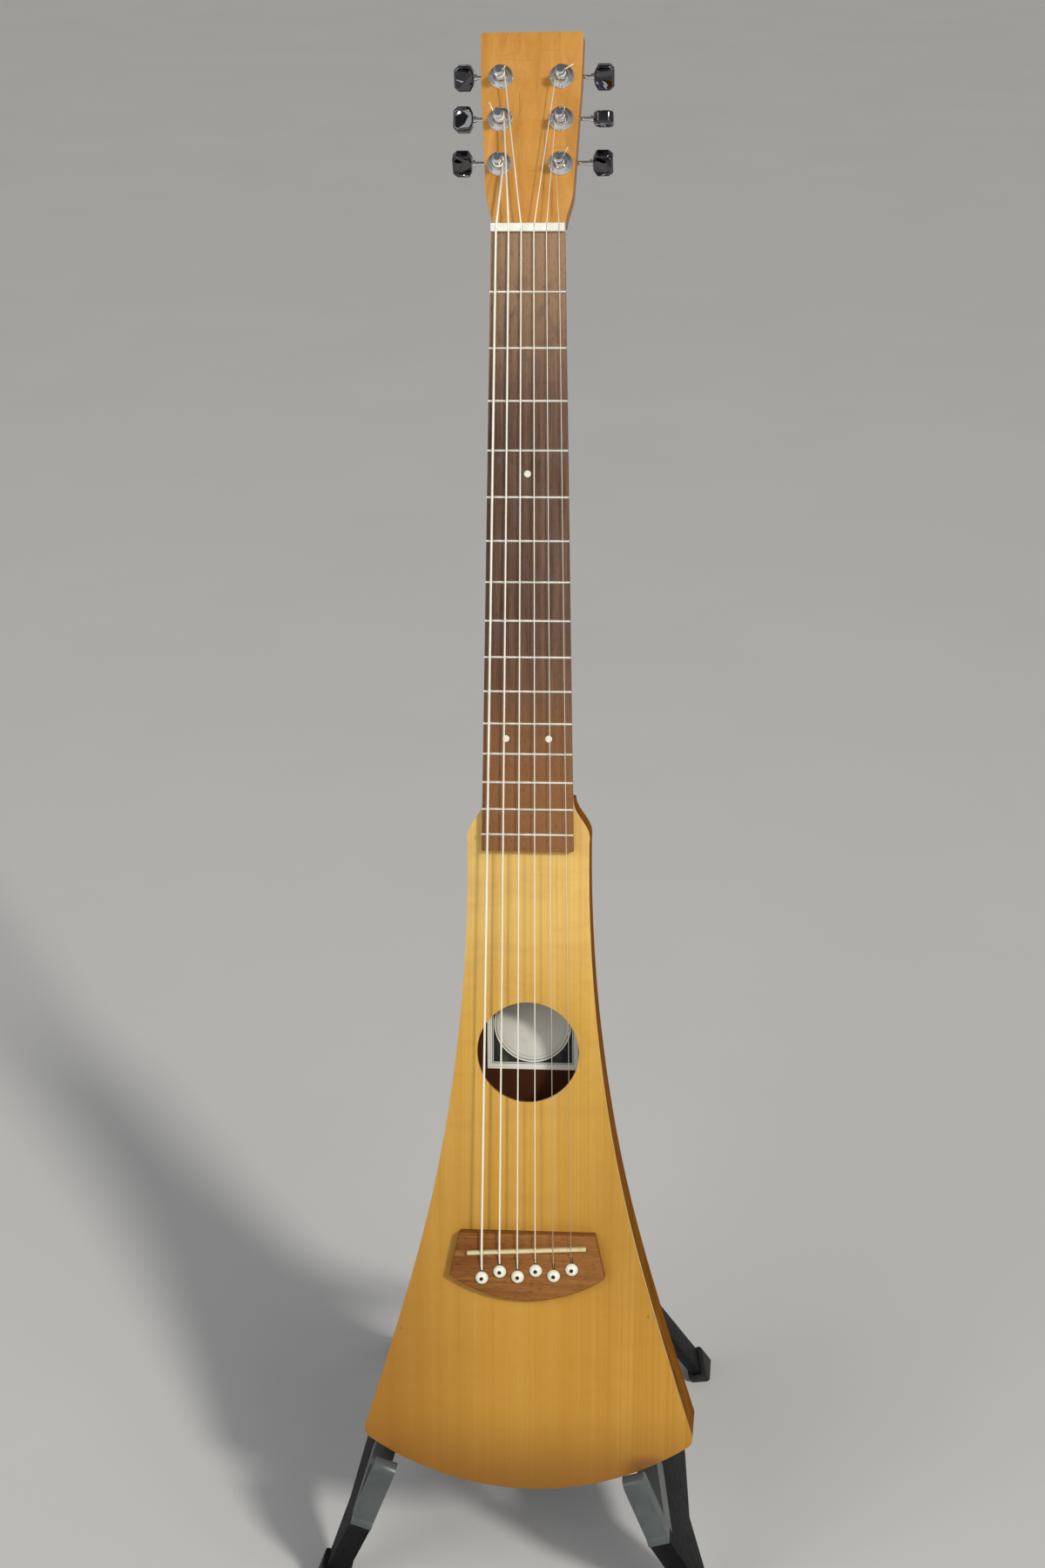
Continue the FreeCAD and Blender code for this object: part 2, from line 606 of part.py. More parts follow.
COS_LEAN = math.cos(math.radians(LEG_LEAN))
FLOOR_W = -VERTEX_Z / COS_LEAN           # the floor, in the plate's own up direction
VERTEX = Vec(0, 0, 0)
TIP = direction(-FRONT_ARM[1]) * FRONT_ARM[0]
ELBOW = direction(REAR_ARM[1]) * REAR_ARM[0]
TOP = Vec(0, TOP_Y, LEG_LEN)
NECK_OF_LEG = Vec(0, TOP_Y, LEG_LEN - 28)
FRONT_FOOT = Vec(0, FRONT_FOOT_Y, FLOOR_W)
ABOVE_FOOT = Vec(0, FRONT_FOOT_Y, 0)
PIVOT = Vec(0, *REAR_PIVOT)
REAR_FOOT = Vec(0, REAR_FOOT_Y, FLOOR_W)
HINGE_Z = VERTEX_Z + LEG_LEN * COS_LEAN


def leg_placement(side):
    """Takes a plate drawn about the vertex to its leaning place on the hinge pin."""
    lean = FreeCAD.Rotation(Y_AXIS, -side * LEG_LEAN)
    top = Vec(side * PIN_SPREAD, 0, HINGE_Z)
    return FreeCAD.Placement(top, lean).multiply(FreeCAD.Placement(Vec(0, 0, -LEG_LEN), FreeCAD.Rotation()))


def above_floor(shape, height):
    return shape.common(box(-400, 400, -400, 400, height, 600))


def extended(a, b, extra):
    return b + (b - a).normalize() * extra


def web():
    half = LEG_T / 2 + SLEEVE_WALL
    points = [Vec(-half, y, z) for y, z in WEB]
    slab = Part.Face(Part.makePolygon(points + points[:1])).extrude(Vec(2 * half, 0, 0))
    outer = [e for e in slab.Edges if e.BoundBox.XLength > half and e.BoundBox.Center.y > 100]
    return slab.makeFillet(8.0, outer)


def leg_plate():
    """The front leg drawn flat: front arm, rear arm, spine and the web that ends in the foot."""
    core_tip = direction(-FRONT_ARM[1]) * (FRONT_ARM[0] - SLEEVE_PAD - ARM_W / 2)
    parts = [bar(VERTEX, core_tip, ARM_W, LEG_T),
             bar(VERTEX, ELBOW, REAR_ARM_W, LEG_T),
             bar(ELBOW, NECK_OF_LEG, BAR_W, LEG_T),
             bar(NECK_OF_LEG, TOP, BAR_W, LEG_T),
             web()]
    return fuse(parts)


def leg_holes():
    return [Part.makeCylinder(HINGE_PIN_R + RUN, 80, Vec(0, TOP_Y - 40, LEG_LEN), Y_AXIS),
            Part.makeCylinder(4.0, 40, Vec(-20, *REAR_PIVOT), X_AXIS)]


def front_leg(side):
    plate = leg_plate().cut(leg_holes())
    return above_floor(placed(plate, leg_placement(side)), 4.0)


def sleeve(side):
    tip_end = direction(-FRONT_ARM[1]) * (FRONT_ARM[0] - ARM_W / 2 - SLEEVE_PAD)
    rear_end = direction(REAR_ARM[1]) * 60.0
    thick = LEG_T + 2 * SLEEVE_WALL
    parts = [bar(VERTEX, tip_end, ARM_W + 2 * SLEEVE_PAD, thick),
             bar(VERTEX, rear_end, REAR_ARM_W + 2 * SLEEVE_PAD, thick)]
    parts[1] = parts[1].cut(box(-20, 20, rear_end.y - 6, 100, -50, 150))
    turn = FreeCAD.Rotation(X_AXIS, FRONT_ARM[1])
    trim = placed(box(-20, 20, -40, 40, -60, 0), FreeCAD.Placement(VERTEX, turn))
    cover = fuse(parts).cut(trim.common(box(-20, 20, -60, 6.5, -60, 60)))
    return placed(cover.cut(leg_plate()), leg_placement(side))


def rear_leg(side):
    off = -side * (LEG_T / 2 + REAR_GAP + REAR_T / 2)
    flat = bar(PIVOT, extended(PIVOT, REAR_FOOT, 20), BAR_W, REAR_T, off, False)
    top = Part.makeCylinder(BAR_W / 2, REAR_T, Vec(off - REAR_T / 2, *REAR_PIVOT), X_AXIS)
    hole = Part.makeCylinder(4.0 + RUN, 60, Vec(-30, *REAR_PIVOT), X_AXIS)
    return above_floor(placed(flat.fuse(top).cut(hole), leg_placement(side)), 4.0)


def pivot_bolt(side):
    """Through the front leg and the rear leg, with a washer between them."""
    start = LEG_T / 2 + 2.0
    reach = LEG_T / 2 + REAR_GAP + REAR_T
    pieces = [Part.makeCylinder(4.0, reach + LEG_T / 2 + 0.3, Vec(-LEG_T / 2, *REAR_PIVOT), X_AXIS),
              Part.makeCylinder(6.5, 2.0, Vec(-start, *REAR_PIVOT), X_AXIS),
              Part.makeCylinder(7.0, REAR_GAP - 0.3, Vec(LEG_T / 2, *REAR_PIVOT), X_AXIS),
              Part.makeCylinder(7.0, 2.2, Vec(reach + 0.3, *REAR_PIVOT), X_AXIS)]
    bolt = fuse(pieces)
    if side > 0:
        bolt = bolt.mirror(Vec(0, 0, 0), X_AXIS)
    return placed(bolt, leg_placement(side))


def foot(side, bar_shape, toe, heel, thick, off):
    """A rubber cap over the end of a leg, flat on the floor."""
    top = toe + (heel - toe).normalize() * FOOT_H * 1.25
    cap = bar(top, extended(top, toe, 20), BAR_W + 6, thick + 6, off, False)
    cap = cap.makeFillet(2.5, [e for e in cap.Edges if e.Length > thick + 7 and e.Length > BAR_W + 7])
    return above_floor(placed(cap, leg_placement(side)), 0).cut(bar_shape)


def hinge_block():
    """Two plates with a web over them. The legs' tops turn between the plates."""
    front = TOP_Y - BAR_W / 2 - 0.6
    back = TOP_Y + BAR_W / 2 + 0.6
    low, high = HINGE_Z - 13, HINGE_Z + 15
    plates = [box(-27, 27, front - 5, front, low, high), box(-27, 27, back, back + 5, low, high),
              box(-27, 27, front - 5, back + 5, HINGE_Z + 11, high)]
    block = fuse(plates)
    block = block.makeFillet(2.5, [e for e in block.Edges
                                   if e.BoundBox.YLength > 20 and abs(e.BoundBox.Center.x) > 20])
    return block.cut([hinge_pin(side) for side in (-1, 1)])


def hinge_pin(side):
    front = TOP_Y - BAR_W / 2 - 0.6 - 5
    back = TOP_Y + BAR_W / 2 + 0.6 + 5
    at = Vec(side * PIN_SPREAD, front, HINGE_Z)
    pin = Part.makeCylinder(HINGE_PIN_R, back - front + 2.2, at, Y_AXIS)
    return pin.fuse(Part.makeCylinder(5.0, 2.2, Vec(side * PIN_SPREAD, back, HINGE_Z), Y_AXIS))


def back_pad():
    """Soft pad on the block's front, flush with the guitar's back."""
    front = TOP_Y - BAR_W / 2 - 0.6 - 5
    pad = box(-19, 19, front - 12, front, HINGE_Z - 12, HINGE_Z + 13)
    pad = pad.makeFillet(3.0, [e for e in pad.Edges if e.BoundBox.YLength > 5])
    behind = box(-60, 60, 0, 60, -900, 0)
    tilt = math.degrees(math.atan((BACK_Y_BOTTOM - BACK_Y_SHOULDER) / (BOTTOM_S - SHOULDER_S)))
    turn = FreeCAD.Rotation(X_AXIS, tilt)
    space = placed(behind, FreeCAD.Placement(Vec(0, back_y(0) + 0.4, 0), turn))
    return pad.common(placed(space, GUITAR))


for side, name in ((-1, "left"), (1, "right")):
    solids[name + "_front_leg"] = front_leg(side)
    solids[name + "_sleeve"] = sleeve(side)
    solids[name + "_rear_leg"] = rear_leg(side)
    solids[name + "_pivot_bolt"] = pivot_bolt(side)
    solids[name + "_front_foot"] = foot(
        side, solids[name + "_front_leg"], FRONT_FOOT, ABOVE_FOOT, LEG_T + 2 * SLEEVE_WALL, 0)
    rear_off = -side * (LEG_T / 2 + REAR_GAP + REAR_T / 2)
    solids[name + "_rear_foot"] = foot(
        side, solids[name + "_rear_leg"], REAR_FOOT, PIVOT, REAR_T, rear_off)
solids["hinge_block"] = hinge_block()
solids["hinge_pins"] = Part.makeCompound([hinge_pin(side) for side in (-1, 1)])
solids["back_pad"] = back_pad()


# ---------------------------------------------------------------- export

ROW = FreeCAD.Placement(Vec(0, CRADLE_Y, 0), FreeCAD.Rotation())
for name in solids:
    solids[name] = placed(solids[name], ROW)

os.makedirs("parts", exist_ok=True)
for name, shape in solids.items():
    shape.exportStep("parts/%s.step" % name)
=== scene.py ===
import json
import math

import bmesh
import bpy
from mathutils import Matrix, Vector


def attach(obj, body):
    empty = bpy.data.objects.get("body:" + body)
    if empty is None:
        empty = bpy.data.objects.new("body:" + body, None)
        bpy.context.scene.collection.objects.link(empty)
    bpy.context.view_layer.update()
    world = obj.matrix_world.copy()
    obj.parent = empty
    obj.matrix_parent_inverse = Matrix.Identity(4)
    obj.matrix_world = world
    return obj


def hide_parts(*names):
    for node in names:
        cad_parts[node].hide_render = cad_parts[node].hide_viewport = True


# A slim travel guitar on a folding stand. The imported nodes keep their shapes, and get wood, metal,
# rubber and paper here. The strings, the turns on the posts and the pins' dots are built anew.

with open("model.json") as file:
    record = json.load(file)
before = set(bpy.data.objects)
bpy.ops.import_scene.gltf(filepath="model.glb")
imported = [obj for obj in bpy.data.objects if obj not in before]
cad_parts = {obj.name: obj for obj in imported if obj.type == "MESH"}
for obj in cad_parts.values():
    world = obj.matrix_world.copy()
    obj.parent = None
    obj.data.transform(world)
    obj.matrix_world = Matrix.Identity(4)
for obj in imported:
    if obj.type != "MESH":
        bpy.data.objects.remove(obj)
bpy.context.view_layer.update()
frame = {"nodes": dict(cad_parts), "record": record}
nodes = frame["nodes"]
MM = 0.001

# The guitar's own frame: x to the right, y backwards from the fretboard, z up the neck from the nut.
NUT = Vector((-7.1, 37.9, 857.4)) * MM
GUITAR_TURN = Matrix.Rotation(math.radians(-15.0), 3, "X") @ Matrix.Rotation(math.radians(-1.37), 3, "Y")
# The headstock's frame, inside the guitar's: its front face at y = 0, z up from the nut's back edge.
HEAD_PLACE = Vector((0, 6.0, 5.0))
HEAD_TURN = Matrix.Rotation(math.radians(-11.0), 3, "X")

# Strings, in the guitar's frame. Sizes are in millimetres.
SCALE = 609.6                                      # string length, nut to saddle
STRING_D = (1.37, 1.07, 0.81, 0.61, 0.41, 0.30)    # diameters, from the left
NUT_SPREAD = 36.6                                  # from the first string to the sixth, at the nut
NUT_STRING_Z = 2.5                                 # the strings lie on the middle of the nut
STRING_LIFT = 1.6                                  # underside above the fretboard, at the nut
SADDLE_SPREAD = 54.5
SADDLE_TOP = 5.1                                   # underside above the fretboard, clear of the saddle
SADDLE_SLANT = 0.0606                              # the saddle's rise per millimetre to the right
BRIDGE_Y = -2.0                                    # the bridge's upper face
PIN_SPACING = 11.0
PIN_DISTANCES = (627.5, 623.9)                     # from the nut, of every other pin
PIN_RISE = 0.6                                     # from each pin to the next
SLOT_AHEAD = 5.4                                   # from a pin to the middle of its string's slot
PIN_REACH = 3.95 + 0.2                             # the pin's head, and room for the string beside it
# Tuners, in the headstock's frame: 0 to 2 go up the left side, 3 to 5 up the right.
TUNER_OF_STRING = (0, 1, 2, 5, 4, 3)
POST_X = 17.8
POST_Z = (35.3, 61.6, 86.7)
WAIST_R = 2.34                                     # the strings lie just clear of the posts
HOLE_Y = -12.4                                     # the hole near the post's top
SHAFT_END = 35.2                                   # where a button begins, from the middle


def in_row(point):
    """A point in the guitar's frame, in millimetres, to its place in the row's frame."""
    return NUT + GUITAR_TURN @ Vector(point) * MM


def from_head(point):
    """A point in the headstock's frame to the guitar's frame."""
    return HEAD_PLACE + HEAD_TURN @ Vector(point)


def pin_place(i):
    """Bridge pin i's x and z. The pins are staggered, and rise a little to the right."""
    return PIN_SPACING * (i - 2.5), PIN_RISE * i - PIN_DISTANCES[i % 2]


# ---------------------------------------------------------------- camera, light and floor

CAMERA_PLACE = (0.1370, -1.5189, 1.1749)
CAMERA_DOWN = 23.04                        # degrees below level
CAMERA_LEFT = 5.4                          # degrees to the left of straight ahead
CAMERA_LENS = 62.0                         # millimetres, for a sensor 36 mm wide
KEY = Vector((0.514, -0.642, 0.569))       # towards the main light: high, in front, to the right
MIDDLE = Vector((0, 0, 0.6))               # what the soft lights are aimed at


def make_camera():
    data = bpy.data.cameras.new("camera")
    data.lens = CAMERA_LENS
    data.sensor_width = 36.0
    camera = bpy.data.objects.new("camera", data)
    bpy.context.scene.collection.objects.link(camera)
    camera.location = CAMERA_PLACE
    camera.rotation_euler = (math.radians(90 - CAMERA_DOWN), 0, math.radians(CAMERA_LEFT))
    bpy.context.scene.camera = camera


def soft_panel(name, place, size, power, colour):
    """A large soft light aimed at the guitar, seen in the metal but not by the camera."""
    data = bpy.data.lights.new(name, "AREA")
    data.size = size
    data.energy = power
    data.color = colour
    light = bpy.data.objects.new(name, data)
    bpy.context.scene.collection.objects.link(light)
    light.location = place
    light.rotation_euler = (MIDDLE - Vector(place)).to_track_quat("-Z", "Y").to_euler()
    light.visible_camera = False


def map_range(node, low, high, to_low, to_high):
    """Smooth map of a node's value from low..high to to_low..to_high. Returns the output."""
    node.interpolation_type = "SMOOTHSTEP"
    for name, value in (("From Min", low), ("From Max", high), ("To Min", to_low), ("To Max", to_high)):
        node.inputs[name].default_value = value
    return node.outputs[0]


def make_sky():
    """An even studio with pale walls and a dim ceiling."""
    world = bpy.data.worlds.new("studio")
    world.use_nodes = True
    nodes_of, links = world.node_tree.nodes, world.node_tree.links
    height = nodes_of.new("ShaderNodeSeparateXYZ")
    links.new(nodes_of.new("ShaderNodeTexCoord").outputs["Generated"], height.inputs[0])
    sky = nodes_of.new("ShaderNodeMapRange")
    links.new(height.outputs[2], sky.inputs[0])
    brightness = map_range(sky, 0.30, 0.80, 0.30, 0.12)
    background = nodes_of["Background"]
    background.inputs["Color"].default_value = (0.97, 0.98, 1.0, 1)
    links.new(brightness, background.inputs["Strength"])
    bpy.context.scene.world = world


def make_lights():
    data = bpy.data.lights.new("key", "SUN")
    data.energy = 1.76
    data.angle = math.radians(7)
    data.color = (1.0, 0.965, 0.91)
    key = bpy.data.objects.new("key", data)
    bpy.context.scene.collection.objects.link(key)
    key.location = KEY * 3
    key.rotation_euler = (-KEY).to_track_quat("-Z", "Y").to_euler()
    soft_panel("right_panel", (1.54, -1.93, 2.3), 1.6, 19.0, (1.0, 0.98, 0.95))
    soft_panel("left_panel", (-2.1, -3.2, 2.4), 2.8, 56.0, (0.97, 0.98, 1.0))
    make_sky()
    bpy.context.scene.view_settings.view_transform = "Standard"


class Shader:
    """Builds one material's nodes around a Principled shader."""

    def __init__(self, name, **inputs):
        self.material = bpy.data.materials.new(name)
        self.material.use_nodes = True
        self.tree = self.material.node_tree
        self.surface = self.tree.nodes["Principled BSDF"]
        for key, value in inputs.items():
            socket = self.surface.inputs[key.replace("_", " ")]
            socket.default_value = (*value, 1) if isinstance(value, tuple) and len(value) == 3 else value

    def node(self, kind, settings=None, **links):
        made = self.tree.nodes.new(kind)
        for key, value in (settings or {}).items():
            setattr(made, key, value)
        for key, value in links.items():
            self.plug(made.inputs[key.replace("_", " ")], value)
        return made

    def plug(self, socket, value):
        if isinstance(value, bpy.types.NodeSocket):
            self.tree.links.new(value, socket)
        elif isinstance(value, tuple) and len(value) == 3 and socket.type == "RGBA":
            socket.default_value = (*value, 1)
        else:
            socket.default_value = value

    def place(self, stretch=(1, 1, 1), local=True):
        """Coordinates in millimetres, in the guitar's frame or the row's, divided by stretch."""
        coords = self.node("ShaderNodeTexCoord").outputs["Object"]
        mapping = self.node("ShaderNodeMapping", {"vector_type": "TEXTURE"}, Vector=coords)
        if local:
            mapping.inputs["Location"].default_value = NUT
            mapping.inputs["Rotation"].default_value = GUITAR_TURN.to_euler()
        mapping.inputs["Scale"].default_value = [MM * k for k in stretch]
        return mapping.outputs["Vector"]

    def noise(self, vector, scale=1.0, detail=4.0, roughness=0.55, distortion=0.0):
        made = self.node("ShaderNodeTexNoise", Vector=vector, Scale=scale, Detail=detail,
                         Roughness=roughness, Distortion=distortion)
        return made.outputs["Fac"]

    def ramp(self, factor, stops):
        made = self.node("ShaderNodeValToRGB", Fac=factor)
        elements = made.color_ramp.elements
        while len(elements) < len(stops):
            elements.new(0.5)
        for element, (position, colour) in zip(elements, stops):
            element.position = position
            element.color = (*colour, 1) if isinstance(colour, tuple) else (colour, colour, colour, 1)
        return made.outputs["Color"]

    def mix(self, factor, a, b):
        """Colour a where factor is 0, and b where it is 1. A mix node's colours are sockets 6 and 7."""
        made = self.node("ShaderNodeMix", {"data_type": "RGBA"})
        for index, value in ((0, factor), (6, a), (7, b)):
            self.plug(made.inputs[index], value)
        return made.outputs[2]

    def times(self, first, *others):
        for other in others:
            first = self.math("MULTIPLY", first, other)
        return first

    def tint(self, colour, where, strength, new):
        """The colour, changed to new at that strength in the places where the mask is 1."""
        return self.mix(self.times(where, strength), colour, new)

    def math(self, operation, a, b=0.0):
        made = self.node("ShaderNodeMath", {"operation": operation})
        self.plug(made.inputs[0], a)
        self.plug(made.inputs[1], b)
        return made.outputs[0]

    def between(self, value, low, high, to_low=0.0, to_high=1.0):
        """A smooth step of value from low to high."""
        return map_range(self.node("ShaderNodeMapRange", Value=value), low, high, to_low, to_high)

    def split(self, vector):
        return self.node("ShaderNodeSeparateXYZ", Vector=vector).outputs

    def spot(self, vector, centre, radius, soft):
        """1 inside a ball about centre, falling to 0 over soft."""
        made = self.node("ShaderNodeVectorMath", {"operation": "DISTANCE"})
        self.plug(made.inputs[0], vector)
        made.inputs[1].default_value = centre
        return self.between(made.outputs["Value"], radius, radius + soft, 1.0, 0.0)

    def facing(self, direction):
        """How far the surface faces a direction of the guitar's frame: 1 straight at it, -1 away."""
        made = self.node("ShaderNodeVectorMath", {"operation": "DOT_PRODUCT"})
        self.plug(made.inputs[0], self.node("ShaderNodeTexCoord").outputs["Normal"])
        made.inputs[1].default_value = GUITAR_TURN @ Vector(direction)
        return made.outputs["Value"]

    def facing_sideways(self, low=0.55, high=0.9):
        """1 where the surface faces the guitar's left or right, 0 where it faces the front or back."""
        return self.between(self.math("ABSOLUTE", self.facing((0, 1, 0))), low, high, 1.0, 0.0)

    def bump(self, height, strength, distance):
        made = self.node("ShaderNodeBump", Height=height, Strength=strength, Distance=distance)
        return made.outputs["Normal"]

    def finish(self, colour=None, roughness=None, normal=None):
        for key, value in (("Base Color", colour), ("Roughness", roughness), ("Normal", normal)):
            if value is not None:
                self.plug(self.surface.inputs[key], value)
        return self.material


# ---------------------------------------------------------------- materials

def spruce():
    sh = Shader("spruce", Specular_IOR_Level=0.25, Coat_Weight=0.05, Coat_Roughness=0.3)
    x, _, z = sh.split(sh.place())[:3]
    bend = sh.noise(sh.place((60, 60, 420)), 1.0, 2.0)
    wander = sh.times(bend, 5.0)
    rings = sh.node("ShaderNodeCombineXYZ", X=sh.math("ADD", x, wander), Z=sh.times(z, 0.004))
    fine = sh.noise(rings.outputs["Vector"], 0.85, 2.0, 0.7)
    broad = sh.noise(rings.outputs["Vector"], 0.085, 3.0, 0.5)
    # The late wood is darker and closer together towards the right edge.
    coarse = sh.between(x, 15.0, 85.0)
    lines = sh.between(fine, 0.40, 0.62)
    colour = sh.ramp(broad, [(0.30, (0.560, 0.300, 0.045)), (0.50, (0.610, 0.352, 0.062)),
                             (0.70, (0.670, 0.405, 0.085))])
    # Painted light: the soundboard is lighter towards the top, from the hole up to the fretboard.
    colour = sh.mix(sh.between(z, -480.0, -385.0, 0.0, 0.75), colour, (0.760, 0.520, 0.160))
    strength = sh.math("ADD", sh.times(coarse, 0.30), 0.17)
    colour = sh.tint(colour, lines, strength, (0.360, 0.165, 0.022))
    # Medullary flecks lie across the grain.
    silk = sh.between(sh.noise(sh.place((5.5, 5.5, 1.1)), 1.0, 3.0, 0.6), 0.60, 0.78)
    colour = sh.tint(colour, silk, 0.26, (0.820, 0.560, 0.230))
    shade = sh.between(sh.noise(sh.place((34, 34, 14)), 1.0, 4.0, 0.6, 0.6), 0.40, 0.75)
    colour = sh.tint(colour, shade, 0.24, (0.440, 0.210, 0.050))
    # Darker to the right of and below the hole.
    beside = sh.times(sh.between(x, 5.0, 60.0), sh.between(z, -600.0, -440.0, 1.0, 0.0))
    colour = sh.tint(colour, beside, sh.between(z, -700.0, -600.0, 0.0, 0.42), (0.330, 0.165, 0.030))
    # Painted shade: darker towards the bottom, most of all at the left, and darkest along the bottom edge.
    low = sh.between(z, -720.0, -440.0, 1.0, 0.0)
    colour = sh.tint(colour, low, 0.62, (0.400, 0.180, 0.014))
    left = sh.times(sh.between(x, -105.0, -5.0, 1.0, 0.0), low)
    colour = sh.tint(colour, left, 0.55, (0.230, 0.080, 0.006))
    bottom = sh.between(z, -772.0, -705.0, 0.78, 0.0)
    colour = sh.mix(bottom, colour, (0.170, 0.060, 0.008))
    # A painted shadow, cast by the right sleeve's tip, and small dents.
    painted_tip_shadow = sh.spot(sh.place((2.4, 2.4, 1)), (74.0 / 2.4, 2.5, -747.0), 1.0, 7.0)
    colour = sh.tint(colour, painted_tip_shadow, 0.75, (0.170, 0.070, 0.024))
    for centre in ((74.0, 6.0, -652.0), (-78.5, 6.0, -664.0)):
        dent = sh.spot(sh.place((0.55, 1, 1)), (centre[0] / 0.55, centre[1], centre[2]), 0.9, 0.9)
        colour = sh.tint(colour, dent, 0.6, (0.230, 0.110, 0.045))
    # The edge's sideways faces get a painted highlight along the right side, and painted shade along the
    # left and the bottom.
    edge = sh.facing_sideways(0.72, 0.97)
    painted_edge_highlight = sh.times(sh.between(x, 0.0, 20.0), sh.between(z, -735.0, -640.0))
    painted_rim_light_and_shade = sh.mix(painted_edge_highlight, (0.200, 0.070, 0.020), (0.800, 0.610, 0.300))
    colour = sh.tint(colour, edge, 0.9, painted_rim_light_and_shade)
    height = sh.math("ADD", sh.times(lines, 0.5), sh.times(silk, 0.4))
    mottle = sh.noise(sh.place((9, 9, 30)), 1.0, 3.0)
    rough = sh.between(mottle, 0.3, 0.7, 0.30, 0.42)
    return sh.finish(colour, rough, sh.bump(height, 0.12, 0.0002))


def pores(sh, along, across, low, high):
    """Short open pores along the grain, 1 inside a pore."""
    return sh.between(sh.noise(sh.place((across, across, along)), 1.0, 3.0, 0.65), low, high)


def mahogany(name, light, middle, dark, redden=0.0, shine=0.28, open_pores=0.55):
    """Returns the shader and its colour, roughness and normal, for the caller to finish."""
    sh = Shader(name, Specular_IOR_Level=shine)
    broad = sh.noise(sh.place((9, 9, 120)), 1.0, 3.0, 0.6, 0.8)
    colour = sh.ramp(broad, [(0.30, dark), (0.50, middle), (0.70, light)])
    ribbon = sh.between(sh.noise(sh.place((16, 16, 26)), 1.0, 2.0, 0.5, 1.2), 0.42, 0.70)
    colour = sh.tint(colour, ribbon, 0.18, light)
    pore = pores(sh, 7.0, 0.55, 0.58, 0.72)
    colour = sh.tint(colour, pore, open_pores, tuple(k * 0.42 for k in dark))
    fine = sh.noise(sh.place((0.9, 0.9, 40)), 1.0, 3.0, 0.6)
    colour = sh.mix(sh.between(fine, 0.35, 0.75, 0.0, 0.22), colour, dark)
    if redden:
        colour = sh.tint(colour, sh.facing_sideways(), redden, (0.240, 0.060, 0.020))
    rough = sh.between(sh.noise(sh.place((20, 20, 60)), 1.0, 2.0), 0.3, 0.7, 0.32, 0.44)
    return sh, colour, rough, sh.bump(sh.times(pore, -1.0), 0.25, 0.0002)


def hairline(sh, x, low, high):
    """1 along a thin crack that runs up the headstock at x, from low to high."""
    here, _, up = sh.split(sh.place())[:3]
    sway = sh.times(sh.noise(sh.place((10, 10, 9)), 1.0, 2.0), 1.6)
    off = sh.math("ABSOLUTE", sh.math("SUBTRACT", sh.math("ADD", here, sway), x + 0.8))
    return sh.times(sh.between(off, 0.05, 0.24, 1.0, 0.0), sh.between(up, low, low + 6),
                    sh.between(up, high - 6, high, 1.0, 0.0))


def neck_wood():
    sh, colour, rough, normal = mahogany(
        "neck_mahogany", (0.590, 0.292, 0.062), (0.535, 0.252, 0.048), (0.455, 0.195, 0.034),
        redden=0.55, shine=0.22, open_pores=0.25)
    # Faint figure across the headstock, and hairline checks between the tuners.
    waves = sh.noise(sh.place((26, 26, 3.2)), 1.0, 2.0, 0.5, 0.9)
    headstock = sh.between(sh.split(sh.place())[2], 3.0, 16.0)
    figure = sh.times(sh.between(waves, 0.60, 0.74), headstock)
    colour = sh.tint(colour, figure, 0.26, (0.300, 0.130, 0.035))
    for x, low, high in ((8.5, 20.0, 62.0), (13.2, 6.0, 32.0), (-6.5, 64.0, 84.0)):
        colour = sh.tint(colour, hairline(sh, x, low, high), 0.62, (0.090, 0.030, 0.008))
    return sh.finish(colour, rough, normal)


def body_wood():
    sh, colour, rough, normal = mahogany(
        "body_mahogany", (0.290, 0.115, 0.018), (0.225, 0.086, 0.013), (0.140, 0.050, 0.008), shine=0.0)
    # The inside is bare wood, darkened with painted shade. Its floor is the only face that looks forwards.
    painted_shade_inside = sh.between(sh.facing((0, -1, 0)), 0.6, 0.9)
    colour = sh.mix(painted_shade_inside, colour, (0.060, 0.022, 0.010))
    return sh.finish(colour, rough, normal)


def painted_slot_shade(sh, colour):
    """Painted shade darkens each string's slot in the bridge, where it leads down to its pin."""
    for i in range(6):
        x, z = pin_place(i)
        slot = sh.spot(sh.place((1, 1, 4)), (x, BRIDGE_Y, (z + SLOT_AHEAD) / 4), 0.55, 0.3)
        colour = sh.tint(colour, slot, 0.9, (0.014, 0.008, 0.005))
    return colour


def fretboard_wear_and_sheen(sh, colour, z):
    # Palest by the nut, partly from wear where it is handled most and partly a painted sheen, and redder
    # by the body.
    colour = sh.mix(sh.between(z, -120.0, -5.0, 0.0, 0.85), colour, (0.330, 0.205, 0.115))
    colour = sh.mix(sh.between(z, -345.0, -220.0, 0.85, 0.0), colour, (0.265, 0.115, 0.036))
    # Greyer and darker patches where the fingers press the strings down.
    pressed = sh.between(sh.noise(sh.place((8, 8, 17)), 1.0, 2.0, 0.5), 0.47, 0.62)
    reach = sh.times(sh.between(z, -290.0, -200.0), sh.between(z, -40.0, -15.0, 1.0, 0.0))
    return sh.tint(colour, sh.times(pressed, reach), 0.5, (0.120, 0.078, 0.066))


